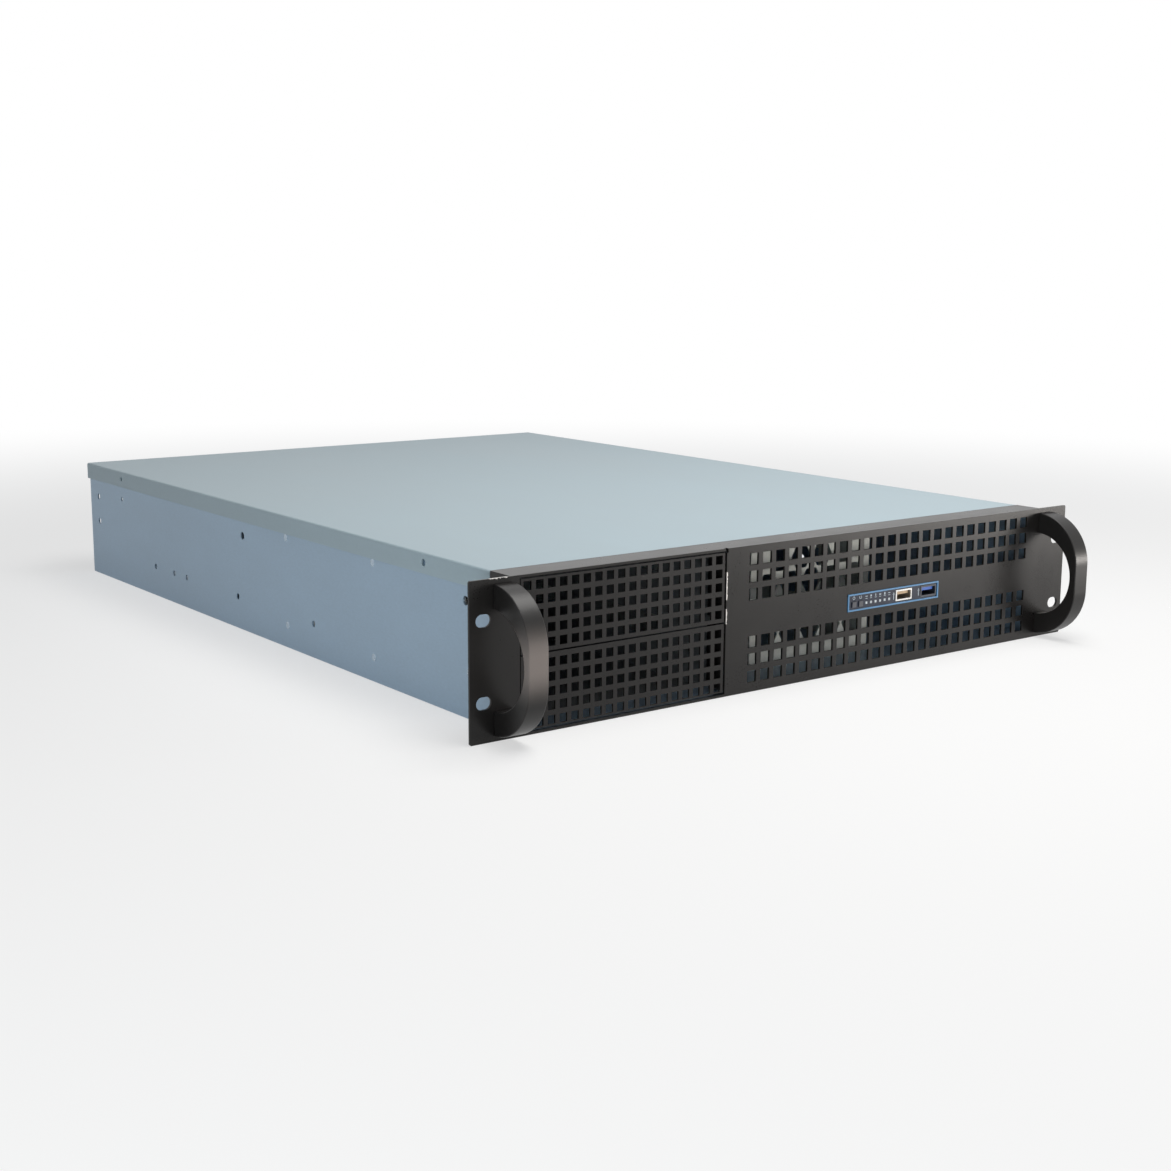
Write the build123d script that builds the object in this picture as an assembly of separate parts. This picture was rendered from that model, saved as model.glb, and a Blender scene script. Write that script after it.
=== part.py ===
"""Empty two-unit rackmount server case, 600 mm deep.

The case is a folded steel tray with a lift-off cover and a black front panel whose ends are
the rack ears. Behind the front stand two drive cages, then a wall of three fans, then the
board area with its standoffs, the power-supply bay and the rear panel.

Frame: +X to the right seen from the front, +Y to the back, +Z up. Origin at the centre of the
footprint, on the surface that the case stands on. Lengths are millimetres. The pieces are built
with the front face of the front panel at y = 0 and moved back into this frame when written.
"""
import os
from math import pi, sin

from build123d import *

# Sides of the prisms that stand for small and for wide rounds; no sides gives a true round
small_sides = 10
wide_sides = 16
screw_sides = 6
true_round = 0

# How far a cut runs past the face that it opens
past = 1.0

# Rack standard
rack_width = 482.6
panel_height = 88.1
ear_width = 26.3
ear_slot_inset = 8.75
ear_slot_rise = 44.45
ear_slot_width = 7.0
ear_slot_length = 9.5

# Sheets and fits
panel_sheet = 1.5
tray_sheet = 1.0
cover_sheet = 1.0
fold_radius = 1.4
seat_gap = 0.3
slip = 0.1

# Front panel
panel_corner = 0.75
corner_notch = 2.0
panel_flange = 20.0
cover_seat_depth = 10.0
lap_gap = 0.2
lap_front = 5.0

# Drive-bay window and covers
window_inset = 5.6
window_width = 145.0
window_gap = 0.9
bay_cover_sheet = 1.2
bay_cover_recess = 0.6
bay_cover_lip = 7.0
bay_cover_wing = 10.0
bay_wing_inset = 1.5
bay_hole = 5.0
bay_pitch_x = 7.9
bay_pitch_z = 8.05
bay_columns = 18
bay_rows = 5
bay_pattern_rise = 43.85
bay_pattern_spread = 43.5

# Grille fields
grille_hole = 7.0
grille_pitch = 10.5
grille_rows = 3
grille_start = 21.1
grille_end = 16.0
grille_upper = 69.4
grille_lower = 19.8

# Handles
handle_reach = 32.3
handle_height = 82.0
handle_width = 12.5
handle_grip = 4.8
handle_foot = 13.5
handle_offset = 4.8

# Control strip
strip_inset = 139.4
strip_rise = 44.0
strip_width = 81.2
strip_height = 10.8
bezel_line = 0.9
bezel_proud = 0.5
bezel_collar = 0.8
bezel_collar_depth = 0.8
fascia_recess = 0.3
fascia_sheet = 1.5
button_size = 3.4
button_proud = 0.4
button_flange = 4.6
button_flange_depth = 0.8
button_travel = 0.5
button_slip = 0.15
button_rise = 42.6
power_button_offset = -35.0
reset_button_offset = -29.2
light_size = 1.5
light_count = 6
light_offset = -24.0
light_pitch = 4.05
light_rise = 42.6
usb2_offset = 9.2
usb3_offset = 31.8
usb_width = 13.2
usb_height = 5.8
usb_sheet = 0.35
usb_depth = 14.0
usb_mouth_proud = 0.2
usb_tongue_width = 11.1
usb_tongue_height = 1.84
usb_back_depth = 4.0
board_sheet = 1.6
board_depth = 24.0
board_boss_radius = 3.0
board_boss_spread = 52.0
bracket_sheet = 1.2
bracket_rise = 34.6
bracket_height = 2.5
bracket_margin = 4.0
switch_width = 6.0
switch_depth = 3.5
switch_height = 3.3
usb_lip = 0.6
usb_lip_depth = 0.3
usb_tongue_rise = 0.25
usb_tongue_setback = 1.5

# Cover
cover_flange = 12.0
cover_hole_drop = 5.6
cover_holes = ((88.0, 2.2), (531.5, 1.7))
notch_width = 3.7

# Side walls
wall_flange = 12.0
flange_end_gap = 1.0
rail_rise = 22.7
rail_holes = (224.9, 334.4, 418.7, 440.6, 474.4)
rail_hole_radius = 2.1
front_service_holes = ((46.6, 67.2, 2.8), (324.5, 66.0, 2.7))
rear_service_holes = ((64.5, 66.3, 1.8), (16.5, 63.0, 2.4), (16.5, 43.4, 2.4))
front_rivet = (43.3, 27.1)
middle_rivet_y = 148.5
rear_rivet_inset = 11.5
rivet_rises = (15.5, 73.4)
rivet_head_radius = 2.4
rivet_head_height = 0.4
rivet_radius = 1.55

# Optical drive cage
cage_sheet = 1.0
optical_width = 148.2
optical_front = 4.0
optical_depth = 268.0
optical_drop = 2.7
optical_rim = 14.0
optical_windows = ((62.0, 120.0), (172.0, 230.0))
optical_window_rises = ((24.0, 38.0), (65.0, 79.0))
optical_hole_front = 50.0
optical_hole_pitch = 79.2
optical_hole_rise = 10.0
bay_screw_y = 12.0

# Hard drive cage
hard_gap = 60.3
hard_width = 104.2
hard_front = 48.0
hard_depth = 152.0
hard_drop = 5.1
hard_foot = 11.0
hard_foot_inset = 14.0
hard_rim = 12.0
hard_window_inset = 46.0
vent_flat = 15.0
vent_pitch = 18.5
vent_columns = 5
vent_rows = 4

# Fans
fan_wall_gap = 28.0
fan_count = 3
fan_size = 80.0
fan_depth = 25.0
fan_bore = 76.0
fan_pitch = 100.0
fan_inset = 56.5
fan_lift = 2.0
fan_flange = 4.0
fan_corner = 9.0
hub_radius = 19.0
rotor_recess = 2.5
rotor_gap = 0.6
blade_reach = 35.8
blade_root_depth = 2.0
blade_count = 7
blade_chord = 20.0
blade_thickness = 1.6
blade_pitch = 38.0
strut_width = 4.0
strut_depth = 3.5
shaft_radius = 2.0
shaft_clearance = 0.07
shaft_length = 2.5
wall_drop = 2.6
cable_pass_inset = 7.5
cable_pass_gap = 8.0
cable_pass_rise = 30.0
wall_foot = 12.0

# Board area and rear panel
mainboard_depth = 244.0
mainboard_gap = 29.0
board_inset = 7.5
standoff_height = 6.35
standoff_flat = 5.5
standoff_bore = 1.3
board_side_inset = 6.35
board_column_steps = (157.48, 124.46)
board_rear_inset = 10.16
board_row_step = 154.94
board_front_inset = 6.51
board_sheet_height = 1.6
rear_flange = 12.0
rear_short_flange = 6.0
io_width = 158.75
io_height = 44.45
io_inset = 3.5
io_drop = 2.5
psu_inset = 4.5
psu_width = 98.0
psu_bottom = 6.0
psu_height = 68.0
psu_bay_depth = 190.0
psu_stop_height = 22.0
psu_stop_foot = 16.0
slot_count = 7
slot_pitch = 20.32
slot_setoff = 172.0
slot_opening = 13.0
slot_bottom = 12.0
slot_top_drop = 4.0
slot_ledge_drop = 9.1
slot_ledge_depth = 14.0
slot_plate_width = 18.4
slot_plate_sheet = 0.9
slot_plate_overlap = 3.0
slot_tab_depth = 12.0
slot_screw_setback = 8.0
slot_slit_gap = 0.2
vent_slot_width = 4.0
vent_slot_pitch = 10.0
vent_slot_bottom = 56.0
vent_slot_top = 72.0
vent_slot_count = 15

# Fasteners
screw_radius = 1.45
screw_hole = 1.55
screw_head_radius = 3.1
screw_head_height = 1.8
handle_screw_radius = 2.0
handle_screw_hole = 2.2
handle_screw_bore = 2.05
handle_screw_head_radius = 3.5
handle_screw_head_height = 2.4
handle_screw_grip = 7.0
thumb_radius = 5.0
thumb_length = 8.0
thumb_reach = 4.0
thumb_inset = 65.0
thumb_drop = 7.6

# Sizes that follow from those above
body_width = rack_width - 2 * ear_width
half_body = body_width / 2
ear_slot_span = rack_width - 2 * ear_slot_inset
wall_outer = half_body - panel_sheet
wall_inner = wall_outer - tray_sheet
middle_rise = panel_height / 2
cover_under = panel_height - cover_sheet
cover_hole_rise = panel_height - cover_hole_drop
thumb_rise = panel_height - thumb_drop
slot_ledge_rise = panel_height - slot_ledge_drop
slot_top = slot_ledge_rise - slot_top_drop
optical_top = panel_height - optical_drop
hard_top = panel_height - hard_drop
wall_top = panel_height - wall_drop
cover_front = panel_flange + seat_gap
optical_back = optical_front + optical_depth
fan_wall_y = optical_back + fan_wall_gap
rear_inner = fan_wall_y + tray_sheet + fan_depth + mainboard_gap + mainboard_depth
case_depth = rear_inner + tray_sheet
cover_back = case_depth + seat_gap + cover_sheet
overall_back = cover_back + thumb_length
overall_depth = handle_reach + overall_back
front_y = handle_reach - overall_depth / 2
window_left = window_inset - half_body
window_right = window_left + window_width
bay_cover_left = window_left + window_gap
bay_cover_right = window_right - window_gap
bay_middle = (window_left + window_right) / 2
bay_floor = panel_sheet
bay_ceiling = panel_height - panel_sheet
lap_top = panel_sheet + tray_sheet
lap_half = wall_inner - slip
lap_back = panel_flange + seat_gap + tray_sheet
bay_cover_low = lap_top + lap_gap
bay_cover_high = bay_ceiling - window_gap
bay_cover_height = (bay_cover_high - bay_cover_low - window_gap) / 2
optical_left = cage_sheet - wall_inner
optical_right = optical_left + optical_width
hard_left = optical_right + cage_sheet + hard_gap
rivet_places = [front_rivet] + [(y, z) for y in (middle_rivet_y, optical_back - rear_rivet_inset)
                                for z in rivet_rises]
service_holes = [*front_service_holes,
                 *[(case_depth - y, z, radius) for y, z, radius in rear_service_holes]]
grille_left = window_right + grille_start
grille_columns = int((half_body - grille_end - grille_left) / grille_pitch) + 1
handle_centre = half_body + handle_offset
strip_centre = half_body - strip_inset
first_fan_x = wall_inner - fan_inset - (fan_count - 1) * fan_pitch
cable_pass_left = cable_pass_inset - wall_inner
cable_pass_right = first_fan_x - fan_size / 2 - cable_pass_gap
board_edge_x = wall_inner - board_inset
slot_first = board_edge_x - slot_setoff
psu_left = psu_inset - wall_inner
thumb_places = (thumb_inset - half_body, half_body - thumb_inset)
board_columns = [board_side_inset + sum(board_column_steps[:count]) for count in range(3)]
board_rows = [board_rear_inset, board_rear_inset + board_row_step, mainboard_depth - board_front_inset]
board_top = tray_sheet + standoff_height
strip_board_top = strip_rise - usb_height / 2
strip_board_under = strip_board_top - board_sheet
fascia_back = fascia_recess + fascia_sheet
handle_opening_radius = min(handle_reach - handle_grip, handle_height / 2 - handle_foot)
handle_root = (handle_height - handle_foot) / 2
usb_mouth = fascia_recess - usb_mouth_proud
usb_back = usb_mouth + usb_depth

os.makedirs("parts", exist_ok=True)


def block(x, y, z):
    """Box between the low and high values given for each axis."""
    size = [high - low for low, high in (x, y, z)]
    middle = [(high + low) / 2 for low, high in (x, y, z)]
    return Pos(*middle) * Box(*size)


def bar(radius, length, sides):
    """Bar along Z about the origin: a prism, or a true round for no sides."""
    if sides == true_round:
        return Cylinder(radius, length)
    return Pos(0, 0, -length / 2) * extrude(RegularPolygon(radius, sides), length)


def rod_x(x, y, z, radius, sides=small_sides):
    """Bar along X between the two values of x."""
    return Pos((x[0] + x[1]) / 2, y, z) * Rot(0, 90, 0) * bar(radius, x[1] - x[0], sides)


def rod_y(x, y, z, radius, sides=small_sides):
    """Bar along Y between the two values of y."""
    return Pos(x, (y[0] + y[1]) / 2, z) * Rot(90, 0, 0) * bar(radius, y[1] - y[0], sides)


def rod_z(x, y, z, radius, sides=small_sides):
    """Bar along Z between the two values of z."""
    return Pos(x, y, (z[0] + z[1]) / 2) * bar(radius, z[1] - z[0], sides)


def both_sides(piece):
    """The piece and its mirror image across the middle of the case."""
    return [piece, mirror(piece, about=Plane.YZ)]


def grid(count, pitch, first):
    """Evenly spaced places along one axis."""
    return [first + pitch * index for index in range(count)]


def centred(count, pitch, middle):
    """Evenly spaced places either side of a middle value."""
    return grid(count, pitch, middle - pitch * (count - 1) / 2)


def square_holes(places_x, places_z, side, y):
    """Square punch for each place, through the sheet between the two values of y."""
    half = side / 2
    return [block((x - half, x + half), y, (z - half, z + half))
            for x in places_x for z in places_z]


def write(name, solids):
    """Move the finished piece into the part's frame and write it."""
    shape = solids if isinstance(solids, list) else [solids]
    bodies = [solid for item in shape for solid in item.solids()]
    placed = [Pos(0, front_y, 0) * solid for solid in bodies]
    export_step(placed[0] if len(placed) == 1 else Compound(children=placed), f"parts/{name}.step")


def u_section(width, height, sheet, base_rise, length, back):
    """Folded channel along Y: a web with two walls, its open side upwards."""
    outside = fillet(Rectangle(width, height).vertices().group_by(Axis.Y)[0], fold_radius)
    inside = Pos(0, sheet) * Rectangle(width - 2 * sheet, height)
    inside = fillet(inside.vertices().group_by(Axis.Y)[0], fold_radius - sheet)
    plane = Plane((0, back, base_rise + height / 2), x_dir=(1, 0, 0), z_dir=(0, -1, 0))
    return extrude(plane * (outside - inside), length)


def floor_corners(back):
    """Strips that keep a piece clear of the tray's two rounded lower corners."""
    relief = fold_radius - tray_sheet + slip
    x = (wall_inner - relief, wall_inner + relief)
    return both_sides(block(x, (0, back), (0, tray_sheet + relief)))


def hard_cage_feet():
    """Screw places of the hard drive cage's four feet."""
    left = hard_left - hard_foot / 2
    right = hard_left + hard_width + hard_foot / 2
    front = hard_front + 2 * hard_foot_inset
    back = hard_front + hard_depth - 2 * hard_foot_inset
    return [(x, y) for x in (left, right) for y in (front, back)]


def base_tray():
    """Floor and side walls folded from one sheet, lapped over the front panel's lower flange."""
    floor_front = lap_back - tray_sheet
    tray = u_section(2 * wall_outer, cover_under, tray_sheet, 0, case_depth - floor_front, case_depth)
    flange_y = (cover_front + cover_seat_depth + flange_end_gap,
                case_depth - rear_short_flange - flange_end_gap)
    wall = block((wall_inner, wall_outer), (panel_sheet, lap_back), (fold_radius, bay_ceiling))
    flange = block((wall_outer - wall_flange, wall_outer), flange_y, (cover_under - tray_sheet, cover_under))
    tray += both_sides(wall) + both_sides(flange)
    tray += block((-lap_half, lap_half), (floor_front, lap_back), (0, lap_top))
    tray += block((-lap_half, lap_half), (lap_front, lap_back), (panel_sheet, lap_top))
    left = (-wall_outer - past, past - wall_inner)
    both = (left, (wall_inner - past, wall_outer + past))
    tray -= [rod_x(side, y, rail_rise, rail_hole_radius, true_round) for y in rail_holes[:2] for side in both]
    tray -= [rod_x(left, y, rail_rise, rail_hole_radius) for y in rail_holes[2:]]
    tray -= [rod_x(left, y, z, radius) for y, z, radius in service_holes]
    tray -= [rod_x(side, y, cover_hole_rise, screw_hole) for y, _ in cover_holes for side in both]
    tray -= [rod_x(left, y, z, rivet_radius + slip / 2) for y, z in rivet_places]
    tray -= [rod_z(x, y, (-past, tray_sheet + past), screw_hole) for x, y in hard_cage_feet()]
    return tray


def slot_places():
    """Middle of each expansion slot, from the board's rear connectors outwards."""
    return grid(slot_count, -slot_pitch, slot_first)


def rear_panel():
    """Rear wall with flanges on all sides, its cut-outs and the ledge for the slot covers."""
    low, high = tray_sheet, cover_under
    y = (rear_inner, case_depth)
    panel = block((-wall_inner, wall_inner), y, (low, high))
    side_z = (low, high - tray_sheet)
    side = block((wall_inner - tray_sheet, wall_inner), (case_depth - rear_flange, case_depth), side_z)
    short = (case_depth - rear_short_flange, case_depth)
    panel += both_sides(side)
    panel += block((-wall_inner, wall_inner), short, (high - tray_sheet, high))
    panel += block((-wall_inner, wall_inner), short, (low, low + tray_sheet))
    ledge_x = (slot_first - (slot_count - 0.5) * slot_pitch, slot_first + slot_pitch / 2)
    panel += block(ledge_x, (rear_inner - slot_ledge_depth, rear_inner),
                   (slot_ledge_rise, slot_ledge_rise + tray_sheet))
    through = (rear_inner - past, case_depth + past)
    io_right = board_edge_x - io_inset
    io_low = board_top + board_sheet_height - io_drop
    cuts = [block((io_right - io_width, io_right), through, (io_low, io_low + io_height)),
            block((psu_left, psu_left + psu_width), through, (psu_bottom, psu_bottom + psu_height))]
    for x in slot_places():
        cuts.append(block((x - slot_opening / 2, x + slot_opening / 2), through, (slot_bottom, slot_top)))
        slit = slot_plate_width / 2 + slot_slit_gap
        cuts.append(block((x - slit, x + slit), (rear_inner - slot_plate_sheet - slip, rear_inner),
                          (slot_ledge_rise - past, slot_ledge_rise + tray_sheet + past)))
        cuts.append(rod_z(x, rear_inner - slot_screw_setback,
                          (slot_ledge_rise - past, slot_ledge_rise + tray_sheet + past), screw_hole))
    for x in centred(vent_slot_count, vent_slot_pitch, io_right - io_width / 2):
        half = vent_slot_width / 2
        cuts.append(block((x - half, x + half), through, (vent_slot_bottom, vent_slot_top)))
    cuts += [rod_y(x, through, thumb_rise, screw_hole) for x in thumb_places]
    return panel - cuts - floor_corners(case_depth + past)


def slot_covers():
    """Blank plates behind the expansion slots, each with a tab on the ledge."""
    tab_low = slot_ledge_rise + tray_sheet
    tab_high = tab_low + slot_plate_sheet
    plates = []
    for x in slot_places():
        width = (x - slot_plate_width / 2, x + slot_plate_width / 2)
        plate = block(width, (rear_inner - slot_plate_sheet, rear_inner),
                      (slot_bottom - slot_plate_overlap, tab_high))
        plate += block(width, (rear_inner - slot_tab_depth, rear_inner), (tab_low, tab_high))
        plate -= rod_z(x, rear_inner - slot_screw_setback, (tab_low - past, tab_high + past), screw_hole)
        plates.append(plate)
    return plates


def slot_screws():
    """One screw through each slot cover's tab into the ledge."""
    seat = slot_ledge_rise + tray_sheet + slot_plate_sheet
    y = rear_inner - slot_screw_setback
    return [rod_z(x, y, (seat, seat + screw_head_height), screw_head_radius, screw_sides)
            + rod_z(x, y, (slot_ledge_rise - tray_sheet, seat), screw_radius, screw_sides)
            for x in slot_places()]


def top_cover():
    """Cover sheet with its two long flanges and a notched rear flange."""
    flange_low = panel_height - cover_flange
    cover = u_section(body_width, cover_flange, cover_sheet, 0, cover_back - cover_front, 0)
    cover = Pos(0, cover_front, panel_height) * Rot(180, 0, 0) * cover
    rear_half = half_body - cover_sheet - seat_gap
    cover += block((-rear_half, rear_half), (cover_back - cover_sheet, cover_back),
                   (flange_low, panel_height - cover_sheet / 2))
    through = (cover_back - cover_sheet - slip, cover_back + past)
    notch = notch_width / 2
    cuts = []
    for x in thumb_places:
        cuts.append(block((x - notch, x + notch), through, (flange_low - past, thumb_rise)))
        cuts.append(rod_y(x, through, thumb_rise, notch))
    outside = half_body + past
    for y, radius in cover_holes:
        cuts += [rod_x(side, y, cover_hole_rise, radius)
                 for side in ((-outside, -wall_outer), (wall_outer, outside))]
    return cover - cuts


def cover_thumbscrews():
    """Thumbscrews behind the cover's rear flange, into the rear panel."""
    return [rod_y(x, (cover_back, cover_back + thumb_length), thumb_rise, thumb_radius, wide_sides)
            + rod_y(x, (rear_inner - thumb_reach, cover_back), thumb_rise, screw_radius, screw_sides)
            for x in thumb_places]


def grille_places():
    """Places of the grille holes: their columns, and the rows of both fields."""
    columns = grid(grille_columns, grille_pitch, grille_left)
    rows = centred(grille_rows, grille_pitch, grille_upper) + centred(grille_rows, grille_pitch, grille_lower)
    return columns, rows


def front_panel():
    """Black front sheet with the rack ears, flanged at the top, bottom and sides."""
    face = block((-rack_width / 2, rack_width / 2), (0, panel_sheet), (0, panel_height))
    face = chamfer(face.edges().filter_by(Axis.Y), panel_corner)
    through = (-past, panel_sheet + past)
    cuts = [block((window_left, window_right), through, (bay_floor, bay_ceiling))]
    columns, rows = grille_places()
    cuts += square_holes(columns, rows, grille_hole, through)
    half_strip = strip_width / 2 + slip
    cuts.append(block((strip_centre - half_strip, strip_centre + half_strip), through,
                      (strip_rise - strip_height / 2 - slip, strip_rise + strip_height / 2 + slip)))
    for side in (-1, 1):
        for step in (-1, 1):
            slot = extrude(SlotOverall(ear_slot_length, ear_slot_width), panel_sheet + past, both=True)
            cuts.append(Pos(side * ear_slot_span / 2, 0, middle_rise + step * ear_slot_rise / 2)
                        * Rot(90, 0, 0) * slot)
            cuts.append(rod_y(side * handle_centre, through, middle_rise + step * handle_root,
                              handle_screw_hole))
    panel = face - cuts
    panel += block((-half_body, half_body), (0, panel_flange), (bay_ceiling, panel_height))
    panel += block((-lap_half, lap_half), (panel_flange - panel_sheet, cover_front + cover_seat_depth),
                   (cover_under - panel_sheet, cover_under))
    panel += block((-lap_half, lap_half), (0, panel_flange), (0, bay_floor))
    panel += both_sides(block((wall_outer, half_body), (0, panel_flange), (0, panel_height)))
    notch_x = (window_right - corner_notch / 2, window_right + corner_notch / 2)
    panel -= block(notch_x, (-past, corner_notch), (bay_ceiling - past, panel_height + past))
    return panel


def bay_cover(low, pattern_rise):
    """Perforated cover whose folded sides step out to the walls of the drive cage."""
    z = (low, low + bay_cover_height)
    front = bay_cover_recess
    sheet = bay_cover_sheet
    cover = block((bay_cover_left, bay_cover_right), (front, front + sheet), z)
    step_y = (front + bay_cover_lip - sheet, front + bay_cover_lip)
    wing_y = (step_y[0], step_y[0] + bay_cover_wing)
    left_wing = optical_left + slip
    right_wing = optical_right - slip
    wing_z = (z[0] + bay_wing_inset, z[1] - bay_wing_inset)
    cover += block((bay_cover_left, bay_cover_left + sheet), (front, step_y[1]), wing_z)
    cover += block((left_wing, bay_cover_left + sheet), step_y, wing_z)
    cover += block((left_wing, left_wing + sheet), wing_y, wing_z)
    cover += block((bay_cover_right - sheet, bay_cover_right), (front, step_y[1]), wing_z)
    cover += block((bay_cover_right - sheet, right_wing), step_y, wing_z)
    cover += block((right_wing - sheet, right_wing), wing_y, wing_z)
    columns = centred(bay_columns, bay_pitch_x, bay_middle)
    rows = centred(bay_rows, bay_pitch_z, pattern_rise)
    cover -= square_holes(columns, rows, bay_hole, (front - past, front + sheet + past))
    cover -= rod_x((right_wing - sheet - past, right_wing + past), bay_screw_y,
                   low + bay_cover_height / 2, screw_hole)
    return cover


def bay_cover_lows():
    """Lower edge of the lower and of the upper bay cover."""
    return bay_cover_low, bay_cover_low + bay_cover_height + window_gap


def bay_cover_screws():
    """Screws that hold the bay covers in the drive cage, one each."""
    face = optical_right + cage_sheet
    return [rod_x((face, face + screw_head_height), bay_screw_y, low + bay_cover_height / 2,
                  screw_head_radius, screw_sides)
            + rod_x((optical_right - 2 * slip - bay_cover_sheet, face), bay_screw_y,
                    low + bay_cover_height / 2, screw_radius, screw_sides) for low in bay_cover_lows()]


def optical_drive_cage():
    """Sleeve of folded sheet for two drives, open at both ends, with windows in three sides."""
    outer_x = (optical_left - cage_sheet, optical_right + cage_sheet)
    y = (optical_front, optical_back)
    cage = block(outer_x, y, (tray_sheet, optical_top))
    cage -= block((optical_left, optical_right), (optical_front - past, optical_back + past),
                  (tray_sheet + cage_sheet, optical_top - cage_sheet))
    cuts = []
    rim_x = (optical_left + optical_rim, optical_right - optical_rim)
    for front, back in optical_windows:
        cuts.append(block(rim_x, (front - optical_rim, back + optical_rim), (middle_rise, panel_height)))
        for low, high in optical_window_rises:
            cuts.append(block((outer_x[0] - past, outer_x[1] + past), (front, back), (low, high)))
    cuts.append(block((outer_x[0] - past, outer_x[1] + past), (0, lap_back + seat_gap), (0, lap_top)))
    left_wall = (outer_x[0] - past, optical_left + past)
    cuts += [rod_x(left_wall, y_rivet, z, rivet_radius + slip / 2) for y_rivet, z in rivet_places]
    cuts += [rod_x(left_wall, y_hole, z, radius + slip) for y_hole, z, radius in front_service_holes]
    cuts += [rod_x((optical_right - past, outer_x[1] + past), bay_screw_y,
                   low + bay_cover_height / 2, screw_hole) for low in bay_cover_lows()]
    bay_floors = (tray_sheet + cage_sheet, (tray_sheet + optical_top) / 2)
    cuts += [rod_x((optical_right - past, outer_x[1] + past), y_hole, floor + optical_hole_rise, screw_hole)
             for y_hole in grid(2, optical_hole_pitch, optical_hole_front) for floor in bay_floors]
    cage -= cuts + floor_corners(optical_back + past)
    return cage


def side_rivets():
    """Flush rivets that hold the optical drive cage to the left wall."""
    return [rod_x((-wall_outer - rivet_head_height, -wall_outer), y, z, rivet_head_radius)
            + rod_x((-wall_outer, optical_left), y, z, rivet_radius) for y, z in rivet_places]


def hard_drive_cage():
    """Cage for the hard drives: vented front, two walls on feet, and a framed top."""
    x = (hard_left, hard_left + hard_width)
    y = (hard_front, hard_front + hard_depth)
    z = (tray_sheet, hard_top)
    cage = block(x, y, z)
    cage -= block((x[0] + cage_sheet, x[1] - cage_sheet), (y[0] + cage_sheet, y[1] + past),
                  (z[0] - past, z[1] - cage_sheet))
    cage -= block((x[0] + hard_rim, x[1] - hard_rim), (y[0] + hard_rim, y[1] - hard_rim),
                  (z[1] - cage_sheet - past, z[1] + past))
    foot_y = (y[0] + hard_foot_inset, y[1] - hard_foot_inset)
    foot_z = (tray_sheet, tray_sheet + cage_sheet)
    cage += block((x[0] - hard_foot, x[0] + cage_sheet), foot_y, foot_z)
    cage += block((x[1] - cage_sheet, x[1] + hard_foot), foot_y, foot_z)
    cage -= [rod_z(foot_x, foot_place, (0, tray_sheet + cage_sheet + past), screw_hole)
             for foot_x, foot_place in hard_cage_feet()]
    vent = RegularPolygon(vent_flat / 2, 6, major_radius=False)
    vent = Rot(90, 0, 0) * extrude(vent, cage_sheet + past, both=True)
    row_pitch = vent_pitch * sin(pi / 3)
    middle_x, middle_z = sum(x) / 2, sum(z) / 2
    vents = []
    for row, vent_z in enumerate(centred(vent_rows, row_pitch, middle_z)):
        count = vent_columns - row % 2
        vents += [Pos(vent_x, y[0] + cage_sheet / 2, vent_z) * vent
                  for vent_x in centred(count, vent_pitch, middle_x)]
    cage -= vents
    window_y = (y[0] + hard_window_inset, y[1] - hard_window_inset)
    window_z = (z[0] + 2 * hard_rim, z[1] - 2 * hard_rim)
    cage -= block((x[0] - past, x[1] + past), window_y, window_z)
    return cage


def drive_cage_screws():
    """Screws through the hard drive cage's feet into the floor."""
    seat = tray_sheet + cage_sheet
    return [rod_z(x, y, (seat, seat + screw_head_height), screw_head_radius, screw_sides)
            + rod_z(x, y, (0, seat), screw_radius, screw_sides) for x, y in hard_cage_feet()]


def fan_places():
    """Middle of each fan across the case, and their common height."""
    return grid(fan_count, fan_pitch, first_fan_x), tray_sheet + fan_lift + fan_size / 2


def fan_wall():
    """Cross wall with an air opening and two folded guides for each fan."""
    y = (fan_wall_y, fan_wall_y + tray_sheet)
    foot_y = (fan_wall_y - wall_foot, y[1])
    z = (tray_sheet, wall_top)
    wall = block((-wall_inner, wall_inner), y, z)
    wall += block((-wall_inner, wall_inner), foot_y, (tray_sheet, 2 * tray_sheet))
    wall += both_sides(block((wall_inner - tray_sheet, wall_inner), foot_y, z))
    wall -= block((cable_pass_left, cable_pass_right), (y[0] - past, y[1] + past),
                  (cable_pass_rise, wall_top + past))
    places, rise = fan_places()
    reach = fan_size / 2 + slip
    guide_y = (fan_wall_y, y[1] + fan_depth)
    guide_z = (rise - fan_size / 2, rise + fan_size / 2)
    for x in places:
        wall += block((x + reach, x + reach + tray_sheet), guide_y, guide_z)
        wall += block((x - reach - tray_sheet, x - reach), guide_y, guide_z)
        wall -= rod_y(x, (y[0] - past, y[1] + past), rise, fan_bore / 2, wide_sides)
    return wall - floor_corners(y[1] + past)


def fan_frame(x):
    """Square fan frame with a round bore and a hub on four struts."""
    rise = fan_places()[1]
    front = fan_wall_y + tray_sheet
    back = front + fan_depth
    half = fan_size / 2
    frame = block((x - half, x + half), (front, back), (rise - half, rise + half))
    frame -= rod_y(x, (front - past, back + past), rise, fan_bore / 2, wide_sides)
    inner = half - fan_corner
    frame -= [block(sorted((x + sx * inner, x + sx * (half + past))), (front + fan_flange, back - fan_flange),
                    sorted((rise + sz * inner, rise + sz * (half + past))))
              for sx in (-1, 1) for sz in (-1, 1)]
    strut_y = (back - strut_depth, back)
    frame += rod_y(x, strut_y, rise, hub_radius, wide_sides)
    long = fan_bore / 2 + past
    wide = strut_width / 2
    frame += block((x - long, x + long), strut_y, (rise - wide, rise + wide))
    frame += block((x - wide, x + wide), strut_y, (rise - long, rise + long))
    return frame - rod_y(x, (strut_y[0] - past, back + past), rise, shaft_radius + shaft_clearance,
                         true_round)


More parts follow.
